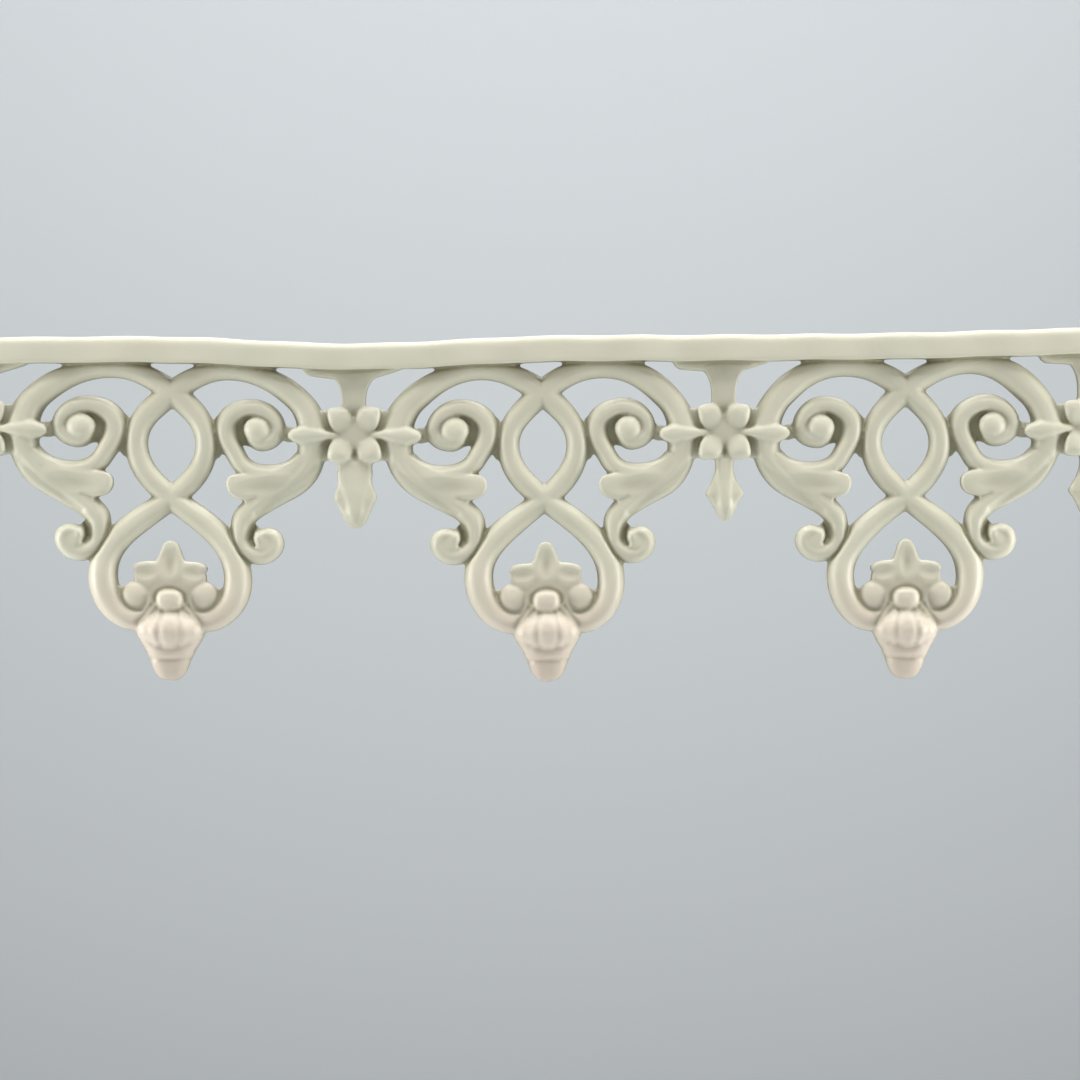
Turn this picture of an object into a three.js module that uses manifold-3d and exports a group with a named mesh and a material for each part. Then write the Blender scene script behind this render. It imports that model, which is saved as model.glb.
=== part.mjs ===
// A pierced scroll moulding, cast in one piece from soft cream resin and fixed by its flat back.
// Millimetres. +X runs along the rail, +Z is up, -Y is the front, and the back lies on Y = 0.
// The origin is on the back of the rail, at the middle of its length and of its height.

import * as THREE from "three";
import { mergeVertices } from "three/addons/utils/BufferGeometryUtils.js";
import Module from "manifold-3d";

const wasm = await Module();
wasm.setup();

// Driving dimensions: three repeats, each a pendant between two rosettes
const BAYS = 3;
const PITCH = 93;
const LENGTH = BAYS * PITCH;
const RAIL = { height: 6.5, depth: 7, topRound: 2, footRound: 0.5, steps: 24 };
const CREAM = { color: 0xd8d3bf, roughness: 0.55, metalness: 0 };

// Every piece runs a little past the back, so that one cut makes the whole back flat
const SKIRT = 0.6;
const TRIM = { front: 12, above: 12, below: 96 };

// Points on the joined surface nearer than this are drawn into one, unless a face would turn over
const WELD = 0.16;
const TURN_LIMIT = 0.6;

// Sections across a rib and a thin web, as shares of half the width and of the crown
const RIB_SECTION = [
  [1, 0],
  [0.55, 1],
  [-0.55, 1],
  [-1, 0],
];
const WEB_SECTION = [
  [1, 1],
  [-1, 1],
];

// Faceting: the length of a step along a rib, the turn of a step in a volute, the sides of a pad
const RIB_STEP = 4;
const VOLUTE_STEP = 30;
const PAD_SIDES = 8;
const PAD_RINGS = 4;

// How far a rib runs on its heading at a station, as a share of the way to the next one
const HANDLE = 0.37;

// The soft strip doesn't lie quite true. At each half bay, from the left end to the right:
// how far it strays along the rail at its top and at its foot, and upwards at the rail and below it.
const LAY = [
  [0, 0.6, -0.4, 0.5],
  [2, 1.6, -0.2, 0.1],
  [1, 2.1, -1.9, -1.3],
  [1.5, 3.4, 0, -0.3],
  [0.6, 1.6, 0.3, -0.5],
  [0, -0.2, 0.8, 0.4],
  [-0.3, -1.4, 2, 0.4],
];
const LAY_FOOT = 83;
const LAY_RAIL = [3, 14];

// A rib's stations: distance from the pendant's axis, height, heading in degrees, width, crown.
// The ribbon rises from the rosette, arches under the rail, crosses the axis twice round the
// almond opening, swells into the heart and curls in beside the bud.
const RIBBON = [
  [36.2, -21, 96, 8, 5.2],
  [31.5, -11, 138, 6.8, 5.2],
  [15.4, -4.7, 180, 4.6, 4.6],
  [0, -10.7, 219, 6.2, 4.6],
  [-8.5, -23.8, 270, 4.8, 4.6],
  [0, -37.2, 321, 5.6, 4.6],
  [16.7, -57, 270, 7, 5.4],
  [7.6, -67.6, 180, 5, 5],
  [4.7, -63.2, 90, 2.8, 4.6],
  [7.4, -59.6, 10, 2.2, 4.4],
];

// The limb leaves the rosette downwards and runs along the lower edge into the small volute
const LIMB = [
  [36, -20, 264, 7.6, 5.2],
  [33.6, -30, 232, 6.8, 5],
  [25, -36.3, 211, 6.2, 4.6],
  [18.2, -41.2, 228, 5.8, 4.8],
  [16.8, -47.3, 270, 4.4, 4.8],
];

// The root parts from the limb and climbs into the large volute
const ROOT = [
  [31.5, -28.5, 225, 4.6, 4.6],
  [24, -31, 180, 4.8, 4.6],
  [16.4, -27, 118, 4.8, 4.8],
  [13.85, -19.75, 90, 4.8, 4.8],
];

// A volute's radius shrinks evenly as it turns; turn is negative for clockwise
const SMALL_VOLUTE = {
  centre: [22.4, -47.3],
  radius: [5.6, 1.9],
  from: 180,
  turn: 340,
  width: [4.4, 3.2],
  crown: [4.8, 5],
};
const LARGE_VOLUTE = {
  centre: [21.75, -19.75],
  radius: [7.9, 1.8],
  from: 180,
  turn: -385,
  width: [4.6, 2.8],
  crown: [4.8, 5.4],
};

// The leaf lobe between limb and root points at the pendant's axis, with a scooped face
const LOBE = [
  [28, -32.8, 185, 3, 3.6],
  [20, -33.4, 183, 5.8, 4],
  [16.5, -34, 180, 6.2, 4.4],
  [14.4, -34, 180, 2.8, 3.8],
];
const LOBE_SCOOP = { at: [18.4, -34.6], size: [4.2, 1.7], depth: 1.3, crown: 4.2 };

// Thin webs left by the mould tie the volutes to their neighbours
const WEBS = [
  [
    [11.2, -17, 270, 3.6, 2.4],
    [11.4, -27.4, 270, 2.8, 2.4],
  ],
  [
    [31.2, -20.3, 180, 4.6, 2.4],
    [27.2, -20.3, 180, 4.6, 2.4],
  ],
  [
    [14.6, -62.4, 180, 7, 2.4],
    [1.4, -62.4, 180, 7, 2.4],
  ],
];
const VOLUTE_FLOOR = { at: [20.4, -19.8], size: [6, 5.8], crown: 2 };
const LARGE_EYE = { at: [21.7, -19.6], size: [3.1, 3], crown: 6 };
const SMALL_EYE = { at: [21.9, -47.4], size: [3.4, 3.4], crown: 4.4 };

// Pendant: a palmette, the volute balls beside it, a knob, and a gadrooned bud with a ringed tip
const BALL = { at: [8.4, -61.4], size: [2.8, 2.8], crown: 5.4 };
const PALMETTE_CENTRE = [
  [0, -61, 90, 7, 4],
  [0, -55, 90, 6.8, 4.4],
  [0, -50.6, 90, 4.6, 4.8],
  [0, -48, 90, 2.2, 4.2],
];
const PALMETTE_SIDE = [
  [1.5, -59.4, 32, 6, 4],
  [6, -56.4, 30, 6, 4.6],
  [9.1, -55.2, 15, 3.4, 4.4],
];
const KNOB = { at: [0, -62.7], size: [3.3, 2.9], crown: 6.6 };
const BUD_CROWN = 0.84;
const BUD_SIDES = 12;
const BUD_PROFILE = [
  [0, -63.6],
  [3.8, -64.6],
  [6.4, -67.4],
  [8.3, -70.6],
  [7.4, -73.4],
  [6.1, -75.6],
  [6.2, -76.9],
  [5.1, -77.9],
  [4.3, -80.4],
  [3.2, -82],
  [0, -82.9],
];
const GADROON = { at: [0, -69.3], size: [2.2, 4.5], crown: 8 };

// Rosette, measured from its own axis: four petals, two side leaves, a stem with a ledge, a drop
const ROSETTE_HEIGHT = -20;
const PETAL = { offset: [3.85, 3.7], size: [3.7, 3.3], crown: 5.8 };
const ROSETTE_CORE = { at: [0, ROSETTE_HEIGHT], size: [3, 3], crown: 4.9 };
const SIDE_LEAF = [
  [3, -20.2, 0, 1.8, 5.2],
  [8, -20.4, 0, 2.9, 5.7],
  [12.8, -20.6, 0, 5, 6.1],
  [16.7, -20.8, 0, 1.2, 5.4],
];
const STEM = { neck: 3.1, neckTop: -9.6, flare: 5.2, foot: -20, depth: 3.8, edge: 0.8 };
const LEDGE = { left: 13.4, right: 12.4, drop: 2.2, blunt: 1.6 };
const DROP = [
  [0, -20.5, 270, 5.4, 4],
  [0, -29, 270, 4.8, 4.4],
  [0, -35.8, 270, 10, 4.4],
  [0, -39.4, 270, 6.2, 4.2],
  [0, -42.6, 270, 1.8, 3.2],
];

// The drop between the left and middle pendants has a broad neck and stands a little larger
const BROAD_DROP = [
  [0, -21.5, 270, 8.2, 4],
  [0, -31.2, 270, 8.5, 4.4],
  [0, -35.9, 270, 10.8, 4.4],
  [0, -39.8, 270, 7.4, 4.2],
  [0, -43.7, 270, 2, 3.2],
];
const BROAD_PLACE = 1;

const radians = THREE.MathUtils.degToRad;
const lerp = THREE.MathUtils.lerp;

// Points along a rib: smooth cubic spans from station to station
function ribSamples(stations) {
  const samples = [];
  for (let i = 0; i + 1 < stations.length; i += 1) {
    const [u0, z0, heading0, width0, crown0] = stations[i];
    const [u1, z1, heading1, width1, crown1] = stations[i + 1];
    const start = new THREE.Vector2(u0, z0);
    const end = new THREE.Vector2(u1, z1);
    const reach = start.distanceTo(end) * HANDLE;
    const leave = new THREE.Vector2(Math.cos(radians(heading0)), Math.sin(radians(heading0)));
    const arrive = new THREE.Vector2(Math.cos(radians(heading1)), Math.sin(radians(heading1)));
    const span = new THREE.CubicBezierCurve(
      start,
      start.clone().addScaledVector(leave, reach),
      end.clone().addScaledVector(arrive, -reach),
      end,
    );
    const steps = Math.max(1, Math.round(span.getLength() / RIB_STEP));
    const last = i + 2 === stations.length ? steps : steps - 1;
    for (let s = 0; s <= last; s += 1) {
      const t = s / steps;
      const ease = THREE.MathUtils.smoothstep(t, 0, 1);
      samples.push({
        point: span.getPoint(t),
        tangent: span.getTangent(t),
        half: lerp(width0, width1, ease) / 2,
        crown: lerp(crown0, crown1, ease),
      });
    }
  }
  return samples;
}

// Points along a volute, from its outer end to its eye
function voluteSamples({ centre, radius, from, turn, width, crown }) {
  const steps = Math.round(Math.abs(turn) / VOLUTE_STEP);
  const samples = [];
  for (let s = 0; s <= steps; s += 1) {
    const t = s / steps;
    const angle = radians(from + turn * t);
    const r = lerp(radius[0], radius[1], t);
    const shrink = (radius[1] - radius[0]) / radians(turn);
    const across = new THREE.Vector2(Math.cos(angle), Math.sin(angle));
    const along = new THREE.Vector2(-across.y, across.x);
    const tangent = along.multiplyScalar(r).addScaledVector(across, shrink);
    samples.push({
      point: new THREE.Vector2(...centre).addScaledVector(across, r),
      tangent: tangent.multiplyScalar(Math.sign(turn)).normalize(),
      half: lerp(width[0], width[1], t) / 2,
      crown: lerp(crown[0], crown[1], t),
    });
  }
  return samples;
}

// A rib swept through its samples and closed at both ends
function sweep(samples, section = RIB_SECTION) {
  const ring = section.length + 2;
  const positions = [];
  for (const { point, tangent, half, crown } of samples) {
    const addPoint = (offset, depth) => {
      positions.push(point.x + tangent.y * offset, depth, point.y - tangent.x * offset);
    };
    addPoint(half, SKIRT);
    for (const [across, up] of section) {
      addPoint(half * across, -crown * up);
    }
    addPoint(-half, SKIRT);
  }
  const faces = [];
  for (let s = 0; s + 1 < samples.length; s += 1) {
    for (let k = 0; k < ring; k += 1) {
      const a = s * ring + k;
      const b = s * ring + ((k + 1) % ring);
      faces.push(a, a + ring, b, b, a + ring, b + ring);
    }
  }
  const lastRing = (samples.length - 1) * ring;
  for (let k = 1; k + 1 < ring; k += 1) {
    faces.push(0, k, k + 1);
    faces.push(lastRing, lastRing + k + 1, lastRing + k);
  }
  const geometry = new THREE.BufferGeometry();
  geometry.setAttribute("position", new THREE.Float32BufferAttribute(positions, 3));
  geometry.setIndex(faces);
  return geometry;
}

// A domed pad: the front of a squashed ball
function pad({ at, size, crown }, turn = 0) {
  const geometry = new THREE.SphereGeometry(1, PAD_SIDES, PAD_RINGS);
  geometry.rotateX(-Math.PI / 2);
  geometry.scale(size[0], crown, size[1]);
  geometry.rotateY(turn);
  geometry.translate(at[0], 0, at[1]);
  return geometry;
}

// Bud: a turned form, flattened towards its front
function bud() {
  const profile = BUD_PROFILE.map(([radius, height]) => new THREE.Vector2(radius, -height));
  const geometry = new THREE.LatheGeometry(profile, BUD_SIDES);
  geometry.rotateX(-Math.PI / 2);
  geometry.scale(1, BUD_CROWN, 1);
  return geometry;
}

// Stem and ledge: one flat outline, its front edge eased by a small bevel
function stem() {
  const underRail = -RAIL.height / 2 + 1;
  const ledgeFoot = -RAIL.height / 2 - LEDGE.drop;
  const outline = new THREE.Shape();
  outline.moveTo(-STEM.neck, STEM.foot);
  outline.lineTo(-STEM.neck, STEM.neckTop);
  outline.quadraticCurveTo(-STEM.neck, ledgeFoot, -STEM.flare, ledgeFoot);
  outline.lineTo(-LEDGE.left + LEDGE.blunt, ledgeFoot + LEDGE.drop / 3);
  outline.lineTo(-LEDGE.left, underRail);
  outline.lineTo(LEDGE.right, underRail);
  outline.lineTo(STEM.flare, ledgeFoot);
  outline.quadraticCurveTo(STEM.neck, ledgeFoot, STEM.neck, STEM.neckTop);
  outline.lineTo(STEM.neck, STEM.foot);
  const geometry = new THREE.ExtrudeGeometry(outline, {
    depth: STEM.depth + SKIRT - STEM.edge,
    curveSegments: 4,
    bevelThickness: STEM.edge,
    bevelSize: STEM.edge,
    bevelOffset: -STEM.edge,
    bevelSegments: 1,
  });
  geometry.rotateX(Math.PI / 2);
  geometry.translate(0, SKIRT, 0);
  return geometry;
}

// Rail: a bar with a rounded top front edge
function rail() {
  const half = RAIL.height / 2;
  const profile = new THREE.Shape();
  profile.moveTo(-SKIRT, -half);
  profile.lineTo(RAIL.depth - RAIL.footRound, -half);
  profile.lineTo(RAIL.depth, -half + RAIL.footRound);
  profile.lineTo(RAIL.depth, half - RAIL.topRound);
  profile.quadraticCurveTo(RAIL.depth, half, RAIL.depth - RAIL.topRound, half);
  profile.lineTo(-SKIRT, half);
  const length = LENGTH + 2 * SKIRT;
  const geometry = new THREE.ExtrudeGeometry(profile, {
    depth: length,
    steps: RAIL.steps,
    curveSegments: 3,
    bevelEnabled: false,
  });
  geometry.translate(0, 0, -length / 2);
  geometry.applyMatrix4(
    new THREE.Matrix4().makeBasis(
      new THREE.Vector3(0, -1, 0),
      new THREE.Vector3(0, 0, 1),
      new THREE.Vector3(-1, 0, 0),
    ),
  );
  return geometry;
}

// Smooth curves through the columns of the lay
const strays = [0, 1, 2, 3].map(
  (column) => new THREE.SplineCurve(LAY.map((row, k) => new THREE.Vector2(k, row[column]))),
);

// Where a point of the true strip comes to lie
function lie(x, z) {
  const share = THREE.MathUtils.clamp(x / LENGTH + 0.5, 0, 1);
  const [top, foot, rail, below] = strays.map((curve) => curve.getPoint(share).y);
  const along = lerp(top, foot, Math.max(-z, 0) / LAY_FOOT);
  const up = lerp(rail, below, THREE.MathUtils.smoothstep(-z, ...LAY_RAIL));
  return [x + along, z + up];
}

// A piece set at its station along the strip, mirrored for a left side, as a solid
function place(geometry, station = 0, side = 1) {
  const bare = geometry.clone();
  bare.deleteAttribute("normal");
  bare.deleteAttribute("uv");
  const merged = mergeVertices(bare, 1e-4);
  const vertProperties = new Float32Array(merged.attributes.position.array);
  for (let i = 0; i < vertProperties.length; i += 3) {
    const [x, z] = lie(station + side * vertProperties[i], vertProperties[i + 2]);
    vertProperties[i] = x;
    vertProperties[i + 2] = z;
  }
  const triVerts = new Uint32Array(merged.index.array);
  if (side < 0) {
    triVerts.reverse();
  }
  return new wasm.Manifold(new wasm.Mesh({ numProp: 3, vertProperties, triVerts }));
}

// The leaf lobe with its scoop taken out
function lobe(station, side) {
  const scoop = pad({ ...LOBE_SCOOP, crown: LOBE_SCOOP.depth });
  scoop.translate(0, -LOBE_SCOOP.crown, 0);
  return place(sweep(ribSamples(LOBE)), station, side).subtract(place(scoop, station, side));
}

// Half a repeat: everything between a pendant's axis and its rosette
function halfBay(station, side) {
  const ribs = [
    sweep(ribSamples(RIBBON)),
    sweep([...ribSamples(LIMB).slice(0, -1), ...voluteSamples(SMALL_VOLUTE)]),
    sweep([...ribSamples(ROOT).slice(0, -1), ...voluteSamples(LARGE_VOLUTE)]),
    sweep(ribSamples(PALMETTE_SIDE)),
    ...WEBS.map((web) => sweep(ribSamples(web), WEB_SECTION)),
    pad(VOLUTE_FLOOR),
    pad(LARGE_EYE),
    pad(SMALL_EYE),
    pad(BALL),
  ];
  return [...ribs.map((rib) => place(rib, station, side)), lobe(station, side)];
}

// What sits on a pendant's axis
function pendant(station) {
  const pieces = [sweep(ribSamples(PALMETTE_CENTRE)), pad(KNOB), bud(), pad(GADROON)];
  return pieces.map((piece) => place(piece, station));
}

// A rosette with its stem, ledge and drop
function rosette(station, drop) {
  const pieces = [place(stem(), station), place(sweep(ribSamples(drop)), station)];
  pieces.push(place(pad(ROSETTE_CORE), station));
  for (const side of [1, -1]) {
    pieces.push(place(sweep(ribSamples(SIDE_LEAF)), station, side));
    for (const level of [1, -1]) {
      const at = [PETAL.offset[0], ROSETTE_HEIGHT + level * PETAL.offset[1]];
      pieces.push(place(pad({ ...PETAL, at }, -level * Math.PI / 4), station, side));
    }
  }
  return pieces;
}

// The box that cuts the back flat and both ends square
function trimBox() {
  const height = TRIM.above + TRIM.below;
  const geometry = new THREE.BoxGeometry(LENGTH, TRIM.front, height);
  geometry.translate(0, -TRIM.front / 2, TRIM.above - height / 2);
  geometry.deleteAttribute("normal");
  geometry.deleteAttribute("uv");
  const merged = mergeVertices(geometry);
  const vertProperties = merged.attributes.position.array;
  const triVerts = new Uint32Array(merged.index.array);
  return new wasm.Manifold(new wasm.Mesh({ numProp: 3, vertProperties, triVerts }));
}

// Which cut faces, the back or an end, a point lies on
function cutFaces(point) {
  const onBack = Math.abs(point.y) < 1e-4;
  const onEnd = Math.abs(Math.abs(point.x) - LENGTH / 2) < 1e-4;
  return { onBack, onEnd };
}

// Whether a point may move to another without leaving a cut face
function mayMove(from, into) {
  const here = cutFaces(from);
  const there = cutFaces(into);
  return (!here.onBack || there.onBack) && (!here.onEnd || there.onEnd);
}

// Draws the ends of each very short edge together, which clears the slivers that joining leaves
function drawTogether(vertProperties, triVerts) {
  const points = [];
  for (let i = 0; i < vertProperties.length; i += 3) {
    points.push(new THREE.Vector3().fromArray(vertProperties, i));
  }
  const faces = [];
  const around = points.map(() => new Set());
  for (let i = 0; i < triVerts.length; i += 3) {
    const corners = [triVerts[i], triVerts[i + 1], triVerts[i + 2]];
    corners.forEach((corner) => around[corner].add(faces.length));
    faces.push(corners);
  }
  const neighbours = (at) => new Set([...around[at]].flatMap((face) => faces[face]));
  const normal = (corners) => {
    const [a, b, c] = corners.map((corner) => points[corner]);
    return new THREE.Vector3().crossVectors(b.clone().sub(a), c.clone().sub(a));
  };
  const turnsOver = (face, from, into) => {
    const before = normal(faces[face]);
    const after = normal(faces[face].map((corner) => (corner === from ? into : corner)));
    const agreement = before.clone().normalize().dot(after.clone().normalize());
    return after.length() < 1e-7 || (before.length() > WELD * WELD && agreement < TURN_LIMIT);
  };
  const draw = (from, into) => {
    const shared = [...around[from]].filter((face) => faces[face].includes(into));
    const near = neighbours(into);
    const common = [...neighbours(from)].filter((at) => at !== from && at !== into && near.has(at));
    const moved = [...around[from]].filter((face) => !shared.includes(face));
    if (shared.length !== 2 || common.length !== 2) {
      return false;
    }
    if (moved.some((face) => turnsOver(face, from, into))) {
      return false;
    }
    for (const face of shared) {
      faces[face].forEach((corner) => around[corner].delete(face));
      faces[face] = null;
    }
    for (const face of moved) {
      faces[face] = faces[face].map((corner) => (corner === from ? into : corner));
      around[into].add(face);
    }
    around[from].clear();
    return true;
  };
  let drawn = true;
  while (drawn) {
    drawn = false;
    for (let from = 0; from < points.length; from += 1) {
      const close = [...neighbours(from)]
        .filter((at) => at !== from && mayMove(points[from], points[at]))
        .map((at) => ({ at, gap: points[at].distanceTo(points[from]) }))
        .filter(({ gap }) => gap < WELD)
        .sort((a, b) => a.gap - b.gap);
      drawn = close.some(({ at }) => draw(from, at)) || drawn;
    }
  }
  const geometry = new THREE.BufferGeometry().setFromPoints(points);
  geometry.setIndex(faces.filter((face) => face !== null).flat());
  return mergeVertices(geometry.toNonIndexed(), 1e-6);
}

// All pieces joined into the one casting
function casting() {
  const pieces = [place(rail())];
  for (let bay = 0; bay < BAYS; bay += 1) {
    const axis = (bay - (BAYS - 1) / 2) * PITCH;
    pieces.push(...halfBay(axis, 1), ...halfBay(axis, -1), ...pendant(axis));
  }
  for (let end = 0; end <= BAYS; end += 1) {
    const drop = end === BROAD_PLACE ? BROAD_DROP : DROP;
    pieces.push(...rosette((end - BAYS / 2) * PITCH, drop));
  }
  const joined = pieces.reduce((whole, piece) => whole.add(piece));
  const { vertProperties, triVerts } = joined.intersect(trimBox()).getMesh();
  const geometry = drawTogether(vertProperties, triVerts);
  geometry.computeVertexNormals();
  return geometry;
}

const moulding = new THREE.Mesh(casting(), new THREE.MeshStandardMaterial(CREAM));
moulding.name = "scroll_moulding";

const part = new THREE.Group();
part.add(moulding);

export default part;
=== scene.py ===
# The dressed scroll moulding: one soft cream casting with its carved relief, on a plain pale stage.
# The shapes are worked in millimetres and scaled to metres at the end. +X runs along the rail,
# +Z is up, -Y is the carved front, and the flat back lies on Y = 0.

import math

import bpy
import numpy as np
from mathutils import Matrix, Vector


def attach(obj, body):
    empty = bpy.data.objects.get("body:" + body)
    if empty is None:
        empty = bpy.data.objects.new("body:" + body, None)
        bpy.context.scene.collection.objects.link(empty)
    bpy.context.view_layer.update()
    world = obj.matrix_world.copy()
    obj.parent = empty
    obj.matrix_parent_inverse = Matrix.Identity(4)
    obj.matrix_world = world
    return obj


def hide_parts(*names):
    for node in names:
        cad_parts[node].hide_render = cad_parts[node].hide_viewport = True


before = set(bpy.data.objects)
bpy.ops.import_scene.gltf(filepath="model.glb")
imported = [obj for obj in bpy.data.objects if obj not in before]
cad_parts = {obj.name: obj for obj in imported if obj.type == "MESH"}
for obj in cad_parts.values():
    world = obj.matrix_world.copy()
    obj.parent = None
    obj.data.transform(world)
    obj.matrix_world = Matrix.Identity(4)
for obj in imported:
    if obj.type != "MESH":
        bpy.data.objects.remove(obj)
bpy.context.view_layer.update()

# Sizes of the strip
BAYS = 3
PITCH = 93.0
HALF_BAY = PITCH / 2
LENGTH = BAYS * PITCH
RAIL_HEIGHT = 6.5
RAIL_DEPTH = 7.0
RAIL_ROUND = 2.1
RAIL_SPARE = 8

# Pieces start this far behind the back, which is cut flat at the end
BACK = 1.2

# How fine the fused skin is, how often it is smoothed before and after carving, and its triangles when done
VOXEL = 0.32
SMOOTHED_RAW = 7
SMOOTHED_CARVED = 3
TRIANGLES = 190000
METRES = 0.001


def mirrored(half):
    """A whole outline from its right half, which starts and ends on the axis."""
    return half + [(-u, z) for u, z in half[-2:0:-1]]


# The soft strip doesn't lie quite true. At each half bay, from the left end to the right:
# how far it strays along the rail at its top and at its foot, and upwards at the rail and below it
LAY = np.array([
    [0, 0.6, -0.4, 0.5],
    [2, 1.6, -0.2, 0.1],
    [1, 2.1, -1.9, -1.3],
    [1.5, 3.4, 0, -0.3],
    [0.6, 1.6, 0.3, -0.5],
    [0, -0.2, 0.8, 0.4],
    [-0.3, -1.4, 2, 0.4],
])
LAY_FOOT = 83.0
LAY_RAIL = (3.0, 14.0)

# Faint ripples of the soft strip: how far they go along, up and forward
RIPPLE_ALONG = 0.09
RIPPLE_UP = 0.1
RIPPLE_FORWARD = 0.1

# A rib's stations: distance from the pendant's axis, height, heading in degrees, width, crown
RIBBON = [
    [36.2, -21, 96, 8, 5.2],
    [31.5, -11, 138, 6.8, 5.2],
    [15.4, -4.7, 180, 4.8, 4.6],
    [0, -10.7, 219, 6.2, 4.6],
    [-8.7, -23.8, 270, 5.6, 4.6],
    [0, -37.2, 321, 5.8, 4.6],
    [16.7, -57, 270, 7.2, 5.4],
    [8, -67.9, 180, 6, 4.8],
    [4.9, -63.4, 88, 2.6, 4.6],
    [5.4, -60.4, 70, 2.6, 4.4],
]
LIMB = [
    [36, -20, 264, 7.6, 5.2],
    [33.6, -30, 232, 6.8, 5],
    [25, -36.3, 211, 6.2, 4.7],
    [18.5, -41.2, 230, 5.8, 4.8],
    [17.4, -47, 272, 4.6, 4.8],
    [22.2, -51, 0, 4.6, 4.8],
    [26.2, -47.6, 90, 4.5, 4.8],
    [24, -45.6, 185, 3.6, 5],
    [22.3, -46.8, 255, 3, 4.9],
]
ROOT = [
    [33.5, -26.3, 236, 5, 4.8],
    [24, -30.5, 180, 5, 4.8],
    [16.6, -26.8, 118, 5, 4.8],
    [13.7, -19.75, 90, 6.2, 4.8],
    [20.6, -14.1, 0, 5, 4.8],
    [26.8, -19.3, 270, 4.5, 4.8],
    [22.4, -22.7, 180, 4.2, 4.8],
    [19.9, -20.4, 92, 3.2, 4.8],
]
SIDE_LEAF = [
    [3, -20.3, 0, 1.2, 4.9],
    [6, -20.3, 0, 1.8, 5.2],
    [8.4, -20.35, 0, 3.1, 5.6],
    [10.6, -20.45, 0, 4.3, 5.9],
    [13, -20.6, 0, 5.1, 6],
    [15.2, -20.7, 0, 3.5, 5.8],
    [16.7, -20.8, 0, 1.2, 5.3],
]
DROP = [
    [0, -23, 270, 4.6, 4],
    [0, -28.3, 270, 4.5, 4.3],
    [0, -31, 270, 4.6, 4.7],
    [0, -35, 270, 4.6, 5.2],
    [0, -38.4, 270, 4.2, 5.3],
    [0, -41.4, 270, 2.4, 4.5],
]
BROAD_DROP = [
    [0, -23, 270, 8.6, 4],
    [0, -28, 270, 8.4, 4.5],
    [0, -31.4, 270, 8.2, 4.9],
    [0, -35, 270, 7, 5.3],
    [0, -39, 270, 5, 5.3],
    [0, -42.4, 270, 2.6, 4.6],
]
WEBS = [
    [[13.6, -62.8, 180, 6, 2.8], [1.4, -62.8, 180, 6, 2.8]],
    [[39.7, -14.2, 270, 3, 3.5], [39.7, -26.6, 270, 3, 3.5]],
]

# Cushions, as outlines with the middle, crown and side wall
TONGUE = (
    [(14, -33.6), (14.4, -32), (15.8, -31), (18.5, -30.6), (23, -30.4), (28, -29.4), (31, -30), (30, -31.6),
     (26, -34.6), (22, -36.8), (18.6, -37.2), (15.9, -36.6), (14.5, -35.3)],
    (20, -33.4), 5.3, 4.5,
)
LOBE_CENTRE = (
    mirrored([(0, -47.9), (1.4, -48.4), (2.2, -49.8), (2.8, -51.6), (3.4, -53.1), (3.7, -55), (3, -57.8),
              (0, -59)]),
    (0, -53.6), 4.9, 3.9,
)
LOBE_SIDE = (
    [(2.2, -53.6), (4.1, -53.2), (6.4, -53.3), (8.2, -53.8), (9.1, -54.9), (8.5, -56), (8.8, -57),
     (8.4, -58.4), (6, -59.8), (3.6, -59.2), (2, -56.6)],
    (5.6, -56), 4.8, 3.9,
)
PETAL = (
    [(-0.2, -0.2), (-0.1, 2.6), (0.3, 4.4), (1.4, 6.1), (3, 6.9), (4.9, 6.9), (6.4, 6.3), (6.7, 5),
     (6.4, 3.1), (5.6, 1.5), (4.2, 0.4), (2.2, 0)],
    (3.2, 3.7), 6, 4.4,
)
BLADE = (
    mirrored([(0, -42.6), (1.2, -42.2), (2, -41.1), (2.9, -39.1), (3.9, -37.3), (4.5, -36.5), (5, -35.8),
              (4.6, -35), (4.1, -34.2), (3, -32.2), (2.3, -30.2), (0, -29)]),
    (0, -36), 4.7, 3.2,
)
BROAD_BLADE = (
    mirrored([(0, -43.7), (1.3, -43.3), (2.4, -42.1), (3.4, -40.2), (4.3, -38.2), (5, -37), (5.4, -35.8),
              (5, -34.6), (4.5, -33.2), (4.2, -31.2), (4.2, -29), (0, -28)]),
    (0, -36), 4.8, 3.3,
)

# The drop between the left and middle pendants is the broad one
BROAD_PLACE = 1

# Flat outlines drawn forward, with their depth: the leaf between root and limb, the palmette's body
LEAF = (
    [(35, -24), (30, -27.6), (24, -30.2), (19, -30.4), (17.6, -32), (17.8, -36), (19.2, -38.2),
     (22.6, -38.4), (28, -36), (34, -31)],
    4.5,
)
PALMETTE_BODY = (
    [(-8.2, -57.4), (-7.8, -60.6), (-4.8, -63.2), (4.8, -63.2), (7.8, -60.6), (8.2, -57.4),
     (4, -54.6), (-4, -54.6)],
    4.2,
)

# Stem: half width at its neck, how far it flares towards the ledge, and how the ledge hangs from the rail
STEM_NECK = 2.95
STEM_FLARE = 2.0
STEM_FLARE_BEND = 3.2
STEM_NECK_HEIGHT = -12.5
STEM_FOOT = (3.1, -20)
STEM_DEPTH = 4.0
LEDGE_DROP = 2.3

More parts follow.
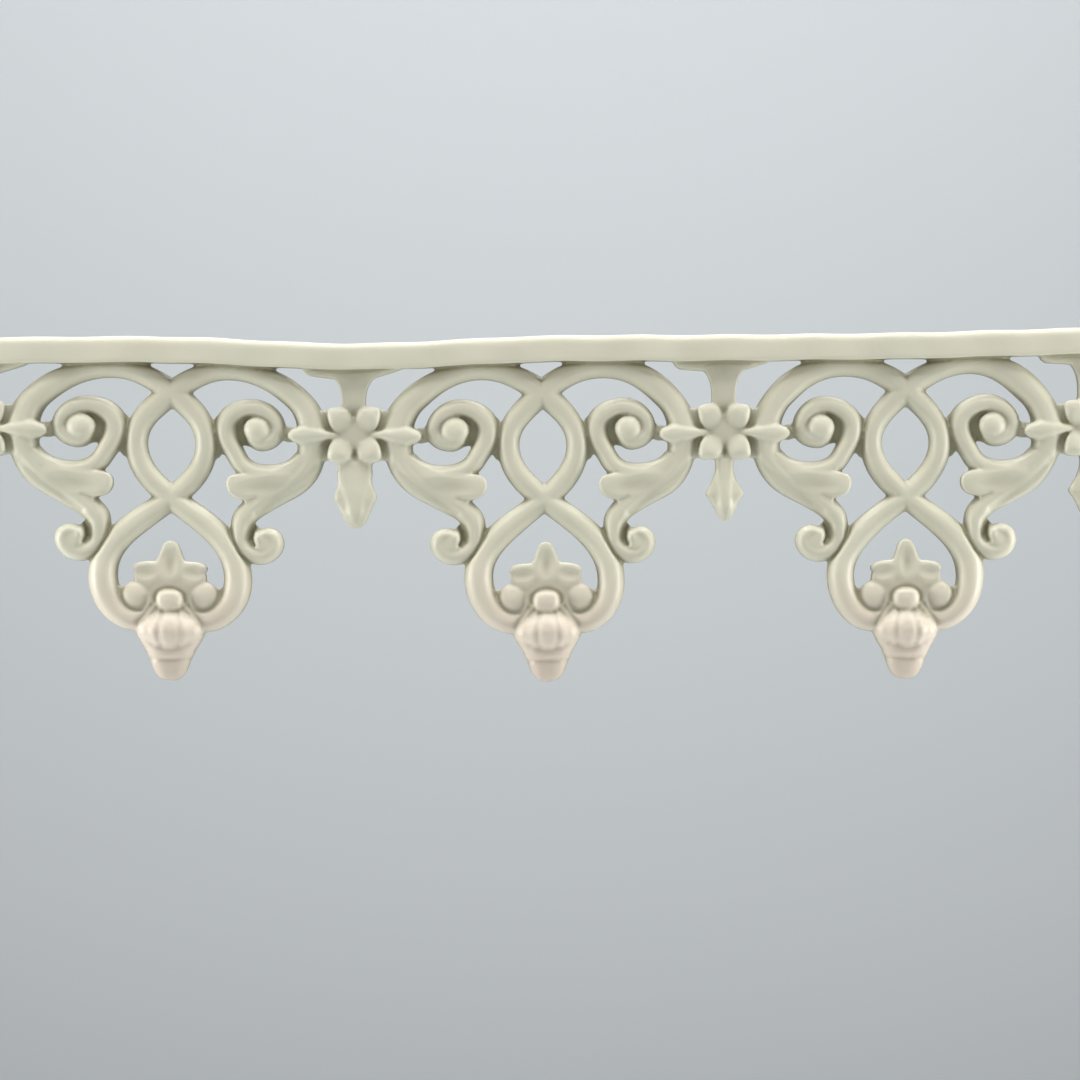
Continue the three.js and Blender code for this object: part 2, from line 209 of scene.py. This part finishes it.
# Domed pads: place, half width and half height, crown and side wall
RIBBON_WEB = ((11.5, -21.8), (1.6, 5.4), 2.6, 0.6)
TIP_WEB = ((29.9, -20.4), (2.4, 2), 3, 1)
VOLUTE_FLOOR = ((20.4, -19), (5.6, 4.8), 3.1, 0.4)
LARGE_EYE = ((21.8, -19.6), (3.5, 3.3), 5.9, 3.4)
SLIT_FLOOR = ((20.6, -46.2), (1.9, 3.2), 3.3, 0.6)
SMALL_FLOOR = ((23.3, -47.6), (3.2, 3.2), 5, 3)
SMALL_EYE = ((22.2, -46.5), (1.8, 2), 5.3, 2)
BALL = ((8.4, -61.6), (3.4, 3.3), 5.3, 3.4)
BALL_SEAT = ((8.2, -62.8), (4.6, 4), 4.1, 2.6)
KNOB_SEAT = ((4.6, -64.6), (2.6, 2.4), 4.4, 2.6)
KNOB = ((0, -62.8), (3.3, 2.6), 6.1, 4)
ROSETTE_HEIGHT = -20.2
CORE = ((0, ROSETTE_HEIGHT), (4.8, 4.8), 5.9, 3.6)

# Bud: half widths and heights from the knob down to the tip, and how far it stands forward
BUD = np.array([
    [0, -61.6], [3.4, -63.2], [5, -65.2], [7.1, -67.4], [8.3, -69.4], [8.5, -71], [7.75, -72.8],
    [6.7, -74.4], [5.95, -75.8], [5.6, -76.8], [5.1, -77.8], [4.75, -79], [4.1, -80.6], [3.2, -81.9],
    [1.8, -82.8], [0, -83.1],
])
BUD_CROWN = 0.74
BUD_SHOULDER = 0.35
BUD_SQUARE = 0.82
KNOB_SQUARE = 0.76


def only(piece):
    """Leaves one object selected and active."""
    bpy.ops.object.select_all(action="DESELECT")
    piece.select_set(True)
    bpy.context.view_layer.objects.active = piece


def edit(piece, mode="FACE"):
    """Opens one object in edit mode with everything selected."""
    only(piece)
    bpy.ops.object.mode_set(mode="EDIT")
    bpy.ops.mesh.select_mode(type=mode)
    bpy.ops.mesh.select_all(action="SELECT")


def leave():
    bpy.ops.object.mode_set(mode="OBJECT")


def added(name):
    """The primitive that was just added, under its own name."""
    piece = bpy.context.object
    piece.name = name
    return piece


def settle(piece):
    """Puts an object's place, turn and size into its mesh, with the faces turned outwards."""
    only(piece)
    bpy.ops.object.transform_apply(location=True, rotation=True, scale=True)
    edit(piece)
    bpy.ops.mesh.normals_make_consistent(inside=False)
    leave()
    return piece


def join(pieces, name):
    only(pieces[0])
    for piece in pieces:
        piece.select_set(True)
    bpy.ops.object.join()
    return added(name)


def apply_modifier(piece, kind, **values):
    only(piece)
    modifier = piece.modifiers.new(kind.lower(), kind)
    for key, value in values.items():
        setattr(modifier, key, value)
    bpy.ops.object.modifier_apply(modifier=modifier.name)


def spline(values, share):
    """A smooth curve through evenly spaced values, read at shares from 0 to 1."""
    last = len(values) - 1
    at = np.clip(share, 0, 1) * last
    k = np.minimum(np.asarray(at).astype(int), last)
    t = at - k
    p0, p1 = values[np.maximum(k - 1, 0)], values[k]
    p2, p3 = values[np.minimum(k + 1, last)], values[np.minimum(k + 2, last)]
    v0, v1 = (p2 - p0) / 2, (p3 - p1) / 2
    return (2 * p1 - 2 * p2 + v0 + v1) * t**3 + (-3 * p1 + 3 * p2 - 2 * v0 - v1) * t**2 + v0 * t + p1


# Ribs, pads and flat bodies

def rib_samples(stations, step=0.8, handle=0.37):
    """Points, tangents, half widths and crowns along smooth spans from station to station."""
    rows = []
    for first, second in zip(stations, stations[1:]):
        start, end = np.array(first[:2], float), np.array(second[:2], float)
        chord = np.linalg.norm(end - start)
        a, b = math.radians(first[2]), math.radians(second[2])
        leaving = start + chord * handle * np.array([math.cos(a), math.sin(a)])
        arriving = end - chord * handle * np.array([math.cos(b), math.sin(b)])
        count = max(3, round(chord * 1.15 / step))
        for t in np.linspace(0, 1, count + 1)[: None if second is stations[-1] else -1]:
            s = 1 - t
            point = s**3 * start + 3 * s * s * t * leaving + 3 * s * t * t * arriving + t**3 * end
            tangent = s * s * (leaving - start) + 2 * s * t * (arriving - leaving) + t * t * (end - arriving)
            ease = t * t * (3 - 2 * t)
            width = first[3] + (second[3] - first[3]) * ease
            crown = first[4] + (second[4] - first[4]) * ease
            rows.append((*point, *(tangent / np.linalg.norm(tangent)), width / 2, crown))
    return rows


def rib(name, stations, wall=0.0, full=0.8, flat=False, sides=14):
    """A rib rolled from a grid: round in front above its side walls, and closed at both ends."""
    rows = rib_samples(stations)
    angles = [math.pi * k / sides for k in range(sides + 1)]
    front = [(math.copysign(abs(math.cos(a)) ** 0.9, math.cos(a)), math.sin(a) ** full) for a in angles]
    if flat:
        front = [(1, 0.9), (0.9, 1), (-0.9, 1), (-1, 0.9)]
    ring = len(front) + 2
    bpy.ops.mesh.primitive_grid_add(x_subdivisions=ring, y_subdivisions=len(rows) - 1, size=2)
    piece = added(name)
    for vertex in piece.data.vertices:
        k = round((vertex.co.x + 1) / 2 * ring) % ring
        u, z, tu, tz, half, crown = rows[round((vertex.co.y + 1) / 2 * (len(rows) - 1))]
        if k in (0, ring - 1):
            across, y = (1 if k == 0 else -1), BACK
        else:
            across, rise = front[k - 1]
            base = min(wall, crown * 0.85)
            y = -base - (crown - base) * rise
        vertex.co = (u + tz * half * across, y, z - tu * half * across)
    edit(piece, "VERT")
    bpy.ops.mesh.remove_doubles(threshold=0.0005)
    bpy.ops.mesh.fill_holes(sides=0)
    bpy.ops.mesh.select_all(action="SELECT")
    bpy.ops.mesh.normals_make_consistent(inside=False)
    leave()
    return piece


def pad(name, place, square=1.0):
    """A domed pad: a ball pressed to its size, squarer where asked."""
    (u, z), (wide, high), crown, wall = place
    bpy.ops.mesh.primitive_uv_sphere_add(segments=40, ring_count=20, radius=1)
    piece = added(name)
    for vertex in piece.data.vertices:
        across, along, rise = (math.copysign(abs(v) ** square, v) for v in vertex.co)
        y = -wall - (crown - wall) * rise if rise > -0.001 else BACK
        vertex.co = (u + wide * across, y, z + high * along)
    return settle(piece)


def cushion(name, shape):
    """A ball pressed to an outline that shows whole from its middle, domed above its side wall."""
    outline, middle, crown, wall = shape
    ring = np.array(outline[-2:] + outline + outline[:3], float) - middle
    share = (2 + np.linspace(0, 1, 160, endpoint=False) * len(outline)) / (len(ring) - 1)
    u, z = spline(ring[:, 0], share), spline(ring[:, 1], share)
    turns, reach = np.arctan2(z, u), np.hypot(u, z)
    bpy.ops.mesh.primitive_uv_sphere_add(segments=64, ring_count=24, radius=1)
    piece = added(name)
    for vertex in piece.data.vertices:
        across, along, rise = vertex.co
        out = np.interp(math.atan2(along, across), turns, reach, period=2 * math.pi)
        y = -wall - (crown - wall) * rise if rise > -0.001 else BACK
        vertex.co = (middle[0] + across * out, y, middle[1] + along * out)
    return settle(piece)


def slab(name, outline, depth):
    """A flat outline drawn forward from behind the back."""
    bpy.ops.mesh.primitive_circle_add(vertices=len(outline), radius=1, fill_type="NGON")
    piece = added(name)
    for vertex, (u, z) in zip(piece.data.vertices, outline):
        vertex.co = (u, BACK, z)
    edit(piece)
    bpy.ops.mesh.extrude_region_move(TRANSFORM_OT_translate={"value": (0, -BACK - depth, 0)})
    leave()
    return settle(piece)


# Pieces of one repeat

def half_bay():
    """Everything between a pendant's axis and its rosette, on the right-hand side."""
    pieces = [
        rib("ribbon", RIBBON),
        rib("limb", LIMB),
        rib("root", ROOT, full=0.95),
        slab("leaf", *LEAF),
        cushion("tongue", TONGUE),
        cushion("palmette_side", LOBE_SIDE),
        pad("ribbon_web", RIBBON_WEB),
        pad("tip_web", TIP_WEB),
        pad("volute_floor", VOLUTE_FLOOR),
        pad("large_eye", LARGE_EYE),
        pad("slit_floor", SLIT_FLOOR),
        pad("small_floor", SMALL_FLOOR),
        pad("small_eye", SMALL_EYE),
        pad("ball", BALL),
        pad("ball_seat", BALL_SEAT),
        pad("knob_seat", KNOB_SEAT),
    ]
    pieces += [rib("web", web, flat=True) for web in WEBS]
    return join(pieces, "half_bay")


def bud():
    """The bud: a ball drawn out to its profile and pressed towards the back."""
    bpy.ops.mesh.primitive_uv_sphere_add(segments=56, ring_count=44, radius=1)
    piece = added("bud")
    for vertex in piece.data.vertices:
        share = math.acos(max(-1, min(1, vertex.co.z))) / math.pi
        radius, height = max(0, spline(BUD[:, 0], share)), spline(BUD[:, 1], share)
        angle = math.atan2(vertex.co.y, vertex.co.x)
        across, out = (math.copysign(abs(v) ** BUD_SQUARE, v) for v in (math.cos(angle), math.sin(angle)))
        depth = BUD_CROWN * radius * (1 + BUD_SHOULDER * (1 - share))
        vertex.co = (radius * across, depth * out, height)
    return settle(piece)


def pendant():
    """What sits on a pendant's axis."""
    pieces = [
        cushion("palmette", LOBE_CENTRE),
        slab("palmette_body", *PALMETTE_BODY),
        pad("knob", KNOB, square=KNOB_SQUARE),
        bud(),
    ]
    return join(pieces, "pendant")


def stem():
    """The stem and its ledge, blunt at the ledge's left end and tapered at its right."""
    under = -RAIL_HEIGHT / 2 + 1
    foot = -RAIL_HEIGHT / 2 - LEDGE_DROP
    rise = foot - STEM_NECK_HEIGHT
    right = [STEM_FOOT]
    for t in np.linspace(0, 1, 12):
        right.append((STEM_NECK + STEM_FLARE * t**STEM_FLARE_BEND, STEM_NECK_HEIGHT + rise * t))
    left = [(-u, z) for u, z in right]
    blunt_end = [(-11.2, foot + 0.5), (-12.5, foot + 1.4), (-12.8, under)]
    tapered_end = [(12.2, under), (11.4, foot + 1.9), (8, foot + 0.9)]
    return slab("stem", left + blunt_end + tapered_end + right[::-1], STEM_DEPTH)


def rosette(drop, blade):
    """Four petals, two side leaves, a stem with its ledge, and the drop leaf."""
    pieces = [
        stem(),
        rib("drop", drop, wall=3.2),
        cushion("blade", blade),
        pad("core", CORE),
    ]
    for side in (1, -1):
        leaf = rib("side_leaf", SIDE_LEAF, wall=3.8)
        leaf.scale.x = side
        pieces.append(settle(leaf))
        for level in (1, -1):
            petal = cushion("petal", PETAL)
            petal.scale = (side, 1, level)
            petal.location.z = ROSETTE_HEIGHT
            pieces.append(settle(petal))
    return join(pieces, "rosette")


def rail():
    """The rail: a bar with a broad round on its top front edge and a crisp lower one."""
    bpy.ops.mesh.primitive_cube_add(size=1)
    piece = added("rail")
    piece.scale = (LENGTH + RAIL_SPARE, RAIL_DEPTH + BACK, RAIL_HEIGHT)
    piece.location = (0, (BACK - RAIL_DEPTH) / 2, 0)
    settle(piece)
    edit(piece, "EDGE")
    bpy.ops.mesh.select_all(action="DESELECT")
    leave()
    for edge in piece.data.edges:
        ends = [piece.data.vertices[v].co for v in edge.vertices]
        edge.select = all(end.y < 0 and end.z > 0 for end in ends)
    bpy.ops.object.mode_set(mode="EDIT")
    bpy.ops.mesh.bevel(offset=RAIL_ROUND, segments=8, affect="EDGES")
    leave()
    return piece


def copies(source, places):
    """Copies of a piece at places along the strip, turned over where the side is -1."""
    made = []
    for station, side in places:
        only(source)
        bpy.ops.object.duplicate()
        piece = bpy.context.object
        piece.location.x = station
        piece.scale.x = side
        made.append(settle(piece))
    bpy.data.objects.remove(source)
    return made


def raw_casting():
    """All pieces of the strip, joined and fused into one skin."""
    axes = [(bay - (BAYS - 1) / 2) * PITCH for bay in range(BAYS)]
    ends = [(end - BAYS / 2) * PITCH for end in range(BAYS + 1)]
    pieces = [rail()]
    pieces += copies(half_bay(), [(axis, side) for axis in axes for side in (1, -1)])
    pieces += copies(pendant(), [(axis, 1) for axis in axes])
    broad = ends.pop(BROAD_PLACE)
    pieces += copies(rosette(DROP, BLADE), [(end, 1) for end in ends])
    pieces += copies(rosette(BROAD_DROP, BROAD_BLADE), [(broad, 1)])
    casting = join(pieces, "scroll_casting")
    apply_modifier(casting, "REMESH", mode="VOXEL", voxel_size=VOXEL)
    return casting


# Carving: soft grooves and scoops pressed into the front, in each half bay alike

def get_points(piece):
    points = np.empty(len(piece.data.vertices) * 3)
    piece.data.vertices.foreach_get("co", points)
    return points.reshape(-1, 3)


def set_points(piece, points):
    piece.data.vertices.foreach_set("co", points.ravel())
    piece.data.update()


def groove(u, z, line, width, depth):
    """How deep a groove along a line is at each point."""
    nearest = np.full(u.shape, 1e9)
    for (u0, z0), (u1, z1) in zip(line, line[1:]):
        run = (u1 - u0) ** 2 + (z1 - z0) ** 2
        t = np.clip(((u - u0) * (u1 - u0) + (z - z0) * (z1 - z0)) / run, 0, 1)
        nearest = np.minimum(nearest, np.hypot(u - u0 - t * (u1 - u0), z - z0 - t * (z1 - z0)))
    return depth * np.exp(-((nearest / width) ** 2))


def scoop(u, z, at, size, depth, turn=0.0):
    """How deep an oval scoop is at each point."""
    c, s = math.cos(math.radians(turn)), math.sin(math.radians(turn))
    du, dz = u - at[0], z - at[1]
    r = np.hypot((du * c + dz * s) / size[0], (dz * c - du * s) / size[1])
    return depth * np.clip(1 - r * r, 0, 1) ** 1.5


def arc(centre, radius, first, last, steps=10):
    """Points on an arc, angles in degrees."""
    angles = np.radians(np.linspace(first, last, steps))
    return [(centre[0] + radius[0] * math.cos(a), centre[1] + radius[1] * math.sin(a)) for a in angles]


# The cupped tongue of the leaf, the furrow along the limb, and the crease between them
LEAF_CARVING = [
    (scoop, (23.2, -33.6), (7.4, 2.7), 0.65, 10),
    (groove, [(36.4, -28.6), (31.9, -32.8), (26.4, -36.7), (21.9, -40.4)], 1.1, 0.7),
    (groove, [(17.6, -37.3), (19.2, -37.1), (21.4, -36.5)], 0.5, 0.35),
]

# The slit and the dimple of the small volute, and the crease where it leans on the ribbon
SMALL_VOLUTE_CARVING = [
    (groove, [(21.1, -43.2), (20.4, -45.3), (20.3, -47), (20.9, -48.3)], 0.5, 1.3),
    (scoop, (23.9, -47.3), (1.8, 1.8), 0.2),
    (groove, [(14, -43.4), (15.3, -47), (17.4, -50.6), (20, -53.4)], 0.5, 0.9),
]

# The cups of the palmette, and the groove that parts it from the knob
PALMETTE_CARVING = [
    (scoop, (0, -53.4), (2.3, 4.2), 0.8),
    (scoop, (5.8, -56), (3.2, 1.9), 0.65, -8),
    (groove, arc((0, -63), (3.9, 3.4), 0, 90), 0.45, 0.5),
]

# The gadroons of the bud, its waist, the ring above its tip, and the crease against the ribbon
BUD_CARVING = [
    (groove, [(1.8, -65.8), (2.5, -69), (2.5, -72.2), (2, -74)], 0.8, 0.42),
    (groove, [(3.9, -67), (5.2, -69.6), (5.1, -72), (4.4, -73.4)], 1, 0.3),
    (groove, [(0, -75), (2.2, -74.7), (4.4, -73.8), (7, -72.6)], 0.8, 0.45),
    (groove, [(0, -77.6), (5.6, -77.4)], 0.6, 0.4),
    (groove, [(4.6, -64.2), (6.2, -66.4), (8, -68.6)], 0.5, 0.5),
]

# The sunken middle of the rosette and the parting of its lower petals, measured from the rosette's axis
ROSETTE_CARVING = [
    (scoop, (0, ROSETTE_HEIGHT), (6.6, 6.6), 1.25),
    (groove, [(0, -24.2), (0, -26.4)], 0.5, 0.35),
]

# The carving starts this high above the back, and comes in over this rise
CARVED_FROM = 0.8
CARVED_RISE = 1.6


def carve(casting):
    """Presses all the carving into the front."""
    points = get_points(casting)
    x, z = points[:, 0], points[:, 2]
    axis = np.clip(np.round(x / PITCH), -(BAYS // 2), BAYS // 2) * PITCH
    from_pendant = np.abs(x - axis)
    from_rosette = np.abs(HALF_BAY - from_pendant)
    press = np.zeros_like(x)
    for tool, *shape in LEAF_CARVING + SMALL_VOLUTE_CARVING + PALMETTE_CARVING + BUD_CARVING:
        press += tool(from_pendant, z, *shape)
    for tool, *shape in ROSETTE_CARVING:
        press += tool(from_rosette, z, *shape)
    front = np.clip((-points[:, 1] - CARVED_FROM) / CARVED_RISE, 0, 1)
    points[:, 1] += press * front
    set_points(casting, points)


def lie(casting):
    """Moves the true strip to where it comes to lie, a little uneven as a soft casting is."""
    points = get_points(casting)
    x, z = points[:, 0].copy(), points[:, 2].copy()
    share = x / LENGTH + 0.5
    depth = np.clip(-z, 0, None)
    top, foot, at_rail, below = (spline(LAY[:, column], share) for column in range(4))
    t = np.clip((-z - LAY_RAIL[0]) / (LAY_RAIL[1] - LAY_RAIL[0]), 0, 1)
    points[:, 0] = x + top + (foot - top) * depth / LAY_FOOT + RIPPLE_ALONG * np.sin(0.33 * z + 0.21 * x)
    points[:, 2] = z + at_rail + (below - at_rail) * t * t * (3 - 2 * t) + RIPPLE_UP * np.sin(0.29 * x + 0.4)
    front = np.clip(-points[:, 1] / 3, 0, 1)
    ripple = np.sin(0.41 * x + 0.23 * z) + np.sin(0.27 * x - 0.37 * z + 1.1)
    points[:, 1] += front * RIPPLE_FORWARD * ripple
    set_points(casting, points)


def cut(casting):
    """Cuts the back flat and both ends square."""
    planes = [((0, 0, 0), (0, 1, 0)), ((LENGTH / 2, 0, 0), (1, 0, 0)), ((-LENGTH / 2, 0, 0), (-1, 0, 0))]
    edit(casting)
    for place, normal in planes:
        bpy.ops.mesh.select_all(action="SELECT")
        bpy.ops.mesh.bisect(plane_co=place, plane_no=normal, use_fill=True, clear_outer=True)
    bpy.ops.mesh.select_all(action="SELECT")
    bpy.ops.mesh.quads_convert_to_tris()
    leave()


def blur(field, sigma):
    """A soft average of a grid."""
    reach = int(3 * sigma) + 1
    kernel = np.exp(-0.5 * (np.arange(-reach, reach + 1) / sigma) ** 2)
    kernel /= kernel.sum()
    for axis in (0, 1):
        field = np.apply_along_axis(lambda row: np.convolve(row, kernel, mode="same"), axis, field)
    return field


# Painted shade in the recesses and on the lower relief: how far round a point counts as near and as wide,
# the height of the crowns, and the depth that takes the full painted shade
NEAR = 0.8
WIDE = 2.2
CROWN_HEIGHT = 5.6
FULL_PAINTED_SHADE = 1.3


def height_map(points, cell=0.4):
    """Height of the front above the back, on a grid over the strip."""
    low = points[:, (0, 2)].min(0) - 8
    index = ((points[:, (0, 2)] - low) / cell).astype(int)
    heights = np.zeros(index.max(0) + 21)
    np.maximum.at(heights, (index[:, 0], index[:, 1]), -points[:, 1])
    return heights, low, cell


def painted_recess_shade(casting, heights, low, cell):
    """Stores painted shade for each point: the deeper it lies among its neighbours, and the lower it stands
    below the crowns, the darker.
    """
    points = get_points(casting)
    index = ((points[:, (0, 2)] - low) / cell).astype(int)
    index = np.clip(index, 0, np.array(heights.shape) - 1)
    near = blur(heights, NEAR / cell)[index[:, 0], index[:, 1]]
    wide = blur(heights, WIDE / cell)[index[:, 0], index[:, 1]]
    own = -points[:, 1]
    # Painted shade: darker in creases and hollows than the relief round them
    depth = 0.7 * np.clip(near - own, 0, None) + 0.35 * np.clip(wide - own + 0.3, 0, None)
    # Painted shade as well: darker the lower the relief stands below the crowns
    depth += 0.7 * np.clip(1 - own / CROWN_HEIGHT, 0, 1)
    attribute = casting.data.attributes.new("painted_recess_shade", "FLOAT", "POINT")
    attribute.data.foreach_set("value", np.clip(depth / FULL_PAINTED_SHADE, 0, 1))


def casting():
    """The finished casting: fused, carved, laid, cut, thinned and scaled to metres."""
    piece = raw_casting()
    apply_modifier(piece, "SMOOTH", factor=0.5, iterations=SMOOTHED_RAW)
    carve(piece)
    apply_modifier(piece, "SMOOTH", factor=0.5, iterations=SMOOTHED_CARVED)
    lie(piece)
    heights, low, cell = height_map(get_points(piece))
    cut(piece)
    count = len(piece.data.polygons)
    apply_modifier(piece, "DECIMATE", ratio=min(1.0, TRIANGLES / count))
    painted_recess_shade(piece, heights, low, cell)
    set_points(piece, get_points(piece) * METRES)
    only(piece)
    bpy.ops.object.shade_smooth_by_angle(angle=math.radians(50))
    print("casting", count, "to", len(piece.data.polygons), "triangles")
    return piece


# Finish: satin cream resin with painted shade, greyer and greener, in the recesses and on the lower relief,
# and a faint blush low down
CREAM = (0.67, 0.65, 0.515, 1)
CLOUDED_CREAM = (0.61, 0.59, 0.46, 1)
WARM_CREAM = (0.7, 0.65, 0.515, 1)
BLUSH = (0.73, 0.595, 0.5, 1)
# Colour of the painted shade in creases, hollows and low-lying relief
PAINTED_SHADE_TONE = (0.31, 0.292, 0.19, 1)
BLUSH_STARTS = -0.05
BLUSH_FULL = -0.084


def mottle(tree, place, scale, detail):
    """Soft noise over the piece."""
    texture = tree.nodes.new("ShaderNodeTexNoise")
    texture.inputs["Scale"].default_value = scale
    texture.inputs["Detail"].default_value = detail
    tree.links.new(place.outputs["Object"], texture.inputs["Vector"])
    return texture.outputs["Fac"]


def graded(tree, value, starts=0.0, ends=1.0, least=0.0, most=1.0):
    """A value carried from one range over to another."""
    node = tree.nodes.new("ShaderNodeMapRange")
    limits = {"From Min": starts, "From Max": ends, "To Min": least, "To Max": most}
    for socket, limit in limits.items():
        node.inputs[socket].default_value = limit
    tree.links.new(value, node.inputs["Value"])
    return node.outputs["Result"]


def toned(tree, share, under, tone):
    """A colour, fixed or worked out before, that goes over to a tone by a share."""
    node = tree.nodes.new("ShaderNodeMix")
    node.data_type = "RGBA"
    node.inputs["B"].default_value = tone
    tree.links.new(share, node.inputs["Factor"])
    if isinstance(under, tuple):
        node.inputs["A"].default_value = under
    else:
        tree.links.new(under, node.inputs["A"])
    return node.outputs["Result"]


def relief(tree, height, strength, distance):
    """Fine relief from a noise."""
    node = tree.nodes.new("ShaderNodeBump")
    node.inputs["Strength"].default_value = strength
    node.inputs["Distance"].default_value = distance
    tree.links.new(height, node.inputs["Height"])
    return node


def resin():
    material = bpy.data.materials.new("cream_resin")
    material.use_nodes = True
    tree = material.node_tree
    shader = tree.nodes["Principled BSDF"]
    place = tree.nodes.new("ShaderNodeTexCoord")
    split = tree.nodes.new("ShaderNodeSeparateXYZ")
    tree.links.new(place.outputs["Object"], split.inputs["Vector"])
    # The share of painted shade stored on the mesh
    deep = tree.nodes.new("ShaderNodeAttribute")
    deep.attribute_name = "painted_recess_shade"
    clouds = mottle(tree, place, 70, 4)
    grain = mottle(tree, place, 900, 3)
    drift = mottle(tree, place, 26, 2)
    skin = mottle(tree, place, 190, 2)
    cream = toned(tree, clouds, CREAM, CLOUDED_CREAM)
    warm = toned(tree, graded(tree, drift, 0.42, 0.68, most=0.4), cream, WARM_CREAM)
    blush = toned(tree, graded(tree, split.outputs["Z"], BLUSH_STARTS, BLUSH_FULL), warm, BLUSH)
    # Painted shade mixed over the colour by that share
    shaded = toned(tree, deep.outputs["Fac"], blush, PAINTED_SHADE_TONE)
    tree.links.new(shaded, shader.inputs["Base Color"])
    tree.links.new(graded(tree, grain, least=0.34, most=0.48), shader.inputs["Roughness"])
    pores = relief(tree, grain, 0.12, 0.0002)
    uneven = relief(tree, skin, 0.25, 0.0004)
    tree.links.new(pores.outputs["Normal"], uneven.inputs["Normal"])
    tree.links.new(uneven.outputs["Normal"], shader.inputs["Normal"])
    return material


# Stage, light and camera

def stage_sheet(name, size, place, turn, tone):
    """A plain pale sheet of the stage."""
    bpy.ops.mesh.primitive_plane_add(size=1)
    sheet = added(name)
    sheet.scale = (*size, 1)
    sheet.rotation_euler = turn
    sheet.location = place
    only(sheet)
    bpy.ops.object.transform_apply(location=True, rotation=True, scale=True)
    material = bpy.data.materials.new(name)
    material.use_nodes = True
    shader = material.node_tree.nodes["Principled BSDF"]
    shader.inputs["Base Color"].default_value = (*tone, 1)
    shader.inputs["Roughness"].default_value = 0.85
    sheet.data.materials.append(material)


def soft_light(name, place, target, size, power):
    """A broad soft light turned towards a target."""
    data = bpy.data.lights.new(name, "AREA")
    data.shape = "RECTANGLE"
    data.size, data.size_y = size
    data.energy = power
    lamp = bpy.data.objects.new(name, data)
    bpy.context.collection.objects.link(lamp)
    lamp.location = place
    lamp.rotation_euler = (Vector(target) - Vector(place)).to_track_quat("-Z", "Y").to_euler()


def studio():
    """Soft light from all round, on the strip and on the wall behind it."""
    middle = (0, 0, -0.04)
    soft_light("top_light", (0, -0.2, 0.7), middle, (1.1, 0.4), 8.8)
    soft_light("left_light", (-0.7, -0.1, -0.08), middle, (0.3, 0.4), 4.2)
    soft_light("right_light", (0.7, -0.1, -0.08), middle, (0.3, 0.4), 4.2)
    soft_light("low_light", (0, -0.05, -0.255), middle, (0.9, 0.1), 0.06)
    soft_light("front_light", (0, -1.6, 0.3), middle, (0.8, 0.8), 2.5)
    soft_light("back_light", (0, 0.6, 0.75), middle, (1.0, 0.4), 6)
    soft_light("wall_light", (0, 0.5, 0.9), (0, 1.5, -0.05), (1.6, 0.3), 10)
    world = bpy.data.worlds.new("pale_room")
    world.use_nodes = True
    background = world.node_tree.nodes["Background"]
    background.inputs["Color"].default_value = (0.84, 0.86, 0.87, 1)
    background.inputs["Strength"].default_value = 0.12
    bpy.context.scene.world = world
    bpy.context.scene.view_settings.view_transform = "Standard"


def camera():
    """Square on to the strip, from where the photograph was taken."""
    data = bpy.data.cameras.new("camera")
    data.lens = 120
    data.sensor_width = 36
    data.clip_end = 50
    view = bpy.data.objects.new("camera", data)
    bpy.context.collection.objects.link(view)
    view.location = (0.00125, -0.904, -0.04775)
    view.rotation_euler = (math.pi / 2, 0, 0)
    bpy.context.scene.camera = view


camera()
moulding = casting()
moulding.data.materials.clear()
moulding.data.materials.append(resin())
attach(moulding, "root")
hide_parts("scroll_moulding")
stage_sheet("pale_floor", (6, 3.5), (0, -1.2, -0.27), (0, 0, 0), (0.5, 0.53, 0.54))
stage_sheet("pale_wall", (8, 5), (0, 1.5, 0), (math.pi / 2, 0, 0), (0.74, 0.78, 0.8))
studio()
